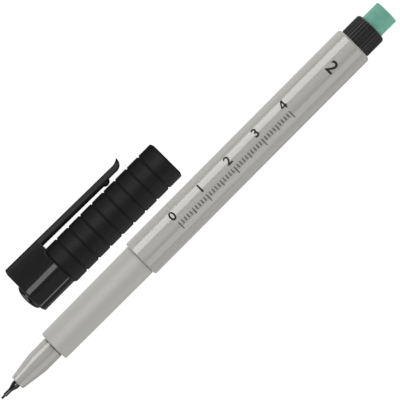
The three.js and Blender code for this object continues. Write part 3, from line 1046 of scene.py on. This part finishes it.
corners += [
    (face_x + housing_wall, dome_radius, 0),
    (face_x + housing_wall, liner_body_radius, 0),
    (liner_high.x - liner_flange, liner_body_radius, 0),
    (liner_high.x - liner_flange, liner_flange_radius, 0.1 * mm),
    (liner_high.x, liner_flange_radius, 0.15 * mm),
    (liner_high.x, liner_bore, 0.3 * mm),
    (liner_high.x - liner_seal, liner_bore, 1 * mm),
    (liner_high.x - liner_seal - liner_throat, liner_throat_radius, 1 * mm),
    (liner_low.x + liner_end_wall, liner_pit_radius, 0.3 * mm),
    (liner_low.x + liner_end_wall, 0, 0),
]
liner = turned("cap_inner_liner", corners, cap_axis, black_polished)
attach(liner, "cap")
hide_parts("cap_liner")


# Floor, light and camera
# A sheet of opal acrylic lit from below, and soft boxes. The marker and the cap were photographed
# apart, so each has boxes of its own. The camera looks straight down.
floor_white, tree, shader, place = new_material("backlit_opal_acrylic", {
    "Roughness": 0.6,
    "IOR": 1.49,
    "Emission Color": linear("ffffff"),
    "Emission Strength": 0.9,
})
# Faint flecks in the sheet, about 11 mm across and nearly lost in its own light.
fleck = add_node(tree, "ShaderNodeTexNoise", {"Scale": 0.09 / mm}, {"Vector": place})
fleck_colour = add_node(tree, "ShaderNodeValToRGB", links={"Fac": fleck.outputs["Fac"]},
                        ramp=("f4f4f4", "f7f7f7"))
tree.links.new(fleck_colour.outputs["Color"], shader.inputs["Base Color"])
floor_half = 3.0
floor_mesh = bpy.data.meshes.new("floor")
floor_corners = [(floor_half * a, floor_half * b, 0) for a, b in ((-1, -1), (1, -1), (1, 1), (-1, 1))]
floor_mesh.from_pydata(floor_corners, [], [(0, 1, 2, 3)])
floor_mesh.materials.append(floor_white)
floor = put_in_scene("floor", floor_mesh)
floor.visible_glossy = floor.visible_diffuse = floor.visible_shadow = False

sky = bpy.data.worlds.new("soft_sky")
sky.use_nodes = True
background = sky.node_tree.nodes["Background"]
background.inputs["Color"].default_value = linear("ffffff")
background.inputs["Strength"].default_value = 0.06
bpy.context.scene.world = sky
bpy.context.scene.view_settings.view_transform = "Standard"


def lit_together(name, pieces):
    """A collection of pieces for a light to fall on."""
    group = bpy.data.collections.new(name)
    for piece in pieces:
        group.objects.link(piece)
    return group


shiny_pieces = [barrel, nose]
dull_pieces = [nib, holder, section, rule, figure, wick, wrapper, plug, eraser]
glossy_cap = [housing, root, clip, liner]
marker_pieces = lit_together("lit_marker", shiny_pieces + dull_pieces)
shiny_marker_pieces = lit_together("lit_shiny_marker", shiny_pieces)
dull_marker_pieces = lit_together("lit_dull_marker", dull_pieces)
barrel_piece = lit_together("lit_barrel", [barrel])
nose_piece = lit_together("lit_nose", [nose])
needle_piece = lit_together("lit_needle", [holder])
grip_piece = lit_together("lit_grip", [section])
ring_piece = lit_together("lit_ring", [plug])
cap_pieces = lit_together("lit_cap", glossy_cap + [cap_tube])
glossy_cap_pieces = lit_together("lit_glossy_cap", glossy_cap)
cap_end_pieces = lit_together("lit_cap_end", [housing, root, liner])
clip_piece = lit_together("lit_clip", [clip])
dome_piece = lit_together("lit_dome", [liner])
tube_piece = lit_together("lit_tube", [cap_tube])
floor_alone = lit_together("lit_floor", [floor])
# No piece mirrors another, because the marker and the cap were photographed apart.
for piece in shiny_pieces + dull_pieces + [cap_tube] + glossy_cap:
    piece.visible_glossy = False


def soft_box(name, brightness, lean, spread, lit, shaded_by=None, distance=0.8, length=1.6,
             glossy=True, diffuse=True, round_z=0):
    """A long box of light, lean degrees from straight up towards +Y and spread degrees wide, turned
    round_z degrees about Z. brightness is what a mirror would show of it. lit holds the objects
    that it lights, and shaded_by those that stand in its way."""
    width = 2 * distance * math.tan(math.radians(spread / 2))
    light = bpy.data.lights.new(name, "AREA")
    light.shape = "RECTANGLE"
    light.size = length
    light.size_y = width
    light.energy = brightness * math.pi * width * length
    box = put_in_scene(name, light)
    turn, swing = math.radians(lean), math.radians(round_z)
    box.location = (-distance * math.sin(turn) * math.sin(swing),
                    distance * math.sin(turn) * math.cos(swing),
                    distance * math.cos(turn))
    box.rotation_euler = (-turn, 0, swing)
    box.visible_camera = False
    box.visible_glossy = glossy
    box.visible_diffuse = diffuse
    box.light_linking.receiver_collection = lit
    if shaded_by:
        box.light_linking.blocker_collection = shaded_by


# The large diffused boxes that fill the marker's colour evenly.
soft_box("fill_above", 0.6, 0, 70, marker_pieces, marker_pieces, glossy=False)
soft_box("fill_front", 0.7, 75, 60, marker_pieces, marker_pieces, glossy=False, round_z=90)
soft_box("fill_back", 0.8, 75, 60, marker_pieces, marker_pieces, glossy=False, round_z=-90)
soft_box("fill_left", 1.75, 82, 84, shiny_marker_pieces, marker_pieces, glossy=False)
soft_box("dull_fill_left", 1.45, 82, 84, dull_marker_pieces, marker_pieces, glossy=False)
soft_box("fill_right", 1.24, -74, 84, marker_pieces, marker_pieces, glossy=False)
# The strips that its glossy skins mirror, the broad glow on the grip, and what the floor gives.
soft_box("marker_strip", 6.3, 52.3, 39.5, barrel_piece, diffuse=False)
soft_box("marker_top_strip", 1.3, 7, 42, shiny_marker_pieces, diffuse=False)
soft_box("marker_low_strip", 2.0, -51, 34, barrel_piece, diffuse=False)
soft_box("nose_strip", 6.5, 51.8, 35.5, nose_piece, diffuse=False)
soft_box("nose_side_strip", 0.8, 92, 44, nose_piece, diffuse=False)
soft_box("nose_low_strip", 2.15, -63, 56, nose_piece, diffuse=False)
soft_box("needle_strip", 14.0, 2, 16, needle_piece, length=0.5, diffuse=False)
soft_box("needle_low_strip", 2.0, -51, 34, needle_piece, diffuse=False)
soft_box("grip_glow", 2.7, 18, 48, grip_piece, diffuse=False)
soft_box("ridge_sheen", 0.42, 0, 46, ring_piece, diffuse=False)
soft_box("glow_below_left", 0.8, 135, 88, marker_pieces, length=3, diffuse=False)
soft_box("glow_below_right", 0.38, -135, 88, marker_pieces, length=3, diffuse=False)
# The cap's boxes: dim light all round, and the strips that show as lines along its closed end.
soft_box("cap_fill_above", 0.23, 0, 150, glossy_cap_pieces, length=4)
soft_box("cap_fill_left", 0.22, 88, 30, glossy_cap_pieces)
soft_box("cap_fill_right", 0.13, -60, 90, cap_end_pieces, diffuse=False)
soft_box("cap_glow_below", 0.1, 180, 100, cap_end_pieces)
soft_box("dome_glint", 1.2, 112, 44, dome_piece, length=0.26, diffuse=False, round_z=84)
soft_box("cap_strip", 3.1, 21.6, 26.4, cap_end_pieces, length=4, diffuse=False)
soft_box("cap_low_strip", 2.4, -87.5, 11, cap_end_pieces, length=4, diffuse=False)
soft_box("clip_glow", 0.65, 5, 16, clip_piece, diffuse=False)
soft_box("flank_glow", 0.4, 50, 14, cap_end_pieces, diffuse=False)
soft_box("cap_low_glow", 0.18, -125, 44, cap_end_pieces, diffuse=False)
soft_box("tube_low_glow", 0.22, -125, 44, tube_piece, diffuse=False)
soft_box("tube_fill_above", 0.18, 0, 150, tube_piece, cap_pieces, length=4)
soft_box("tube_fill_left", 0.22, 88, 30, tube_piece, cap_pieces)
soft_box("tube_fill_right", 0.13, -80, 60, tube_piece, cap_pieces)
soft_box("tube_sheen", 0.5, 31, 50, tube_piece, cap_pieces, diffuse=False)
soft_box("tube_low_sheen", 0.12, -88, 60, tube_piece, cap_pieces, diffuse=False)
soft_box("floor_box", 0.25, 0, 90, floor_alone, distance=1.3, length=2.6)

# The photograph's frame, in its own pixels along and across the marker, from which the aim follows.
photo_turn = math.radians(45.126)
pixels_per_mm = 3.90
photo_side = 400
photo_centre_along = 265.87
photo_centre_across = 0.52
photo_nib = -14.8
photo_pen_axis = 0.93
camera_height = 1.2
frame_width = photo_side / pixels_per_mm * mm
aim = Vector((cad_low.x + (photo_centre_along - photo_nib) / pixels_per_mm * mm,
              pen_axis[0] + (photo_centre_across - photo_pen_axis) / pixels_per_mm * mm,
              pen_axis[1]))
lens = bpy.data.cameras.new("camera")
lens.sensor_width = 36
lens.lens = lens.sensor_width * camera_height / frame_width
lens.clip_start = 0.05
lens.clip_end = 20
camera = put_in_scene("camera", lens)
camera.location = aim + Vector((0, 0, camera_height))
camera.rotation_euler = (0, 0, -photo_turn)
bpy.context.scene.camera = camera
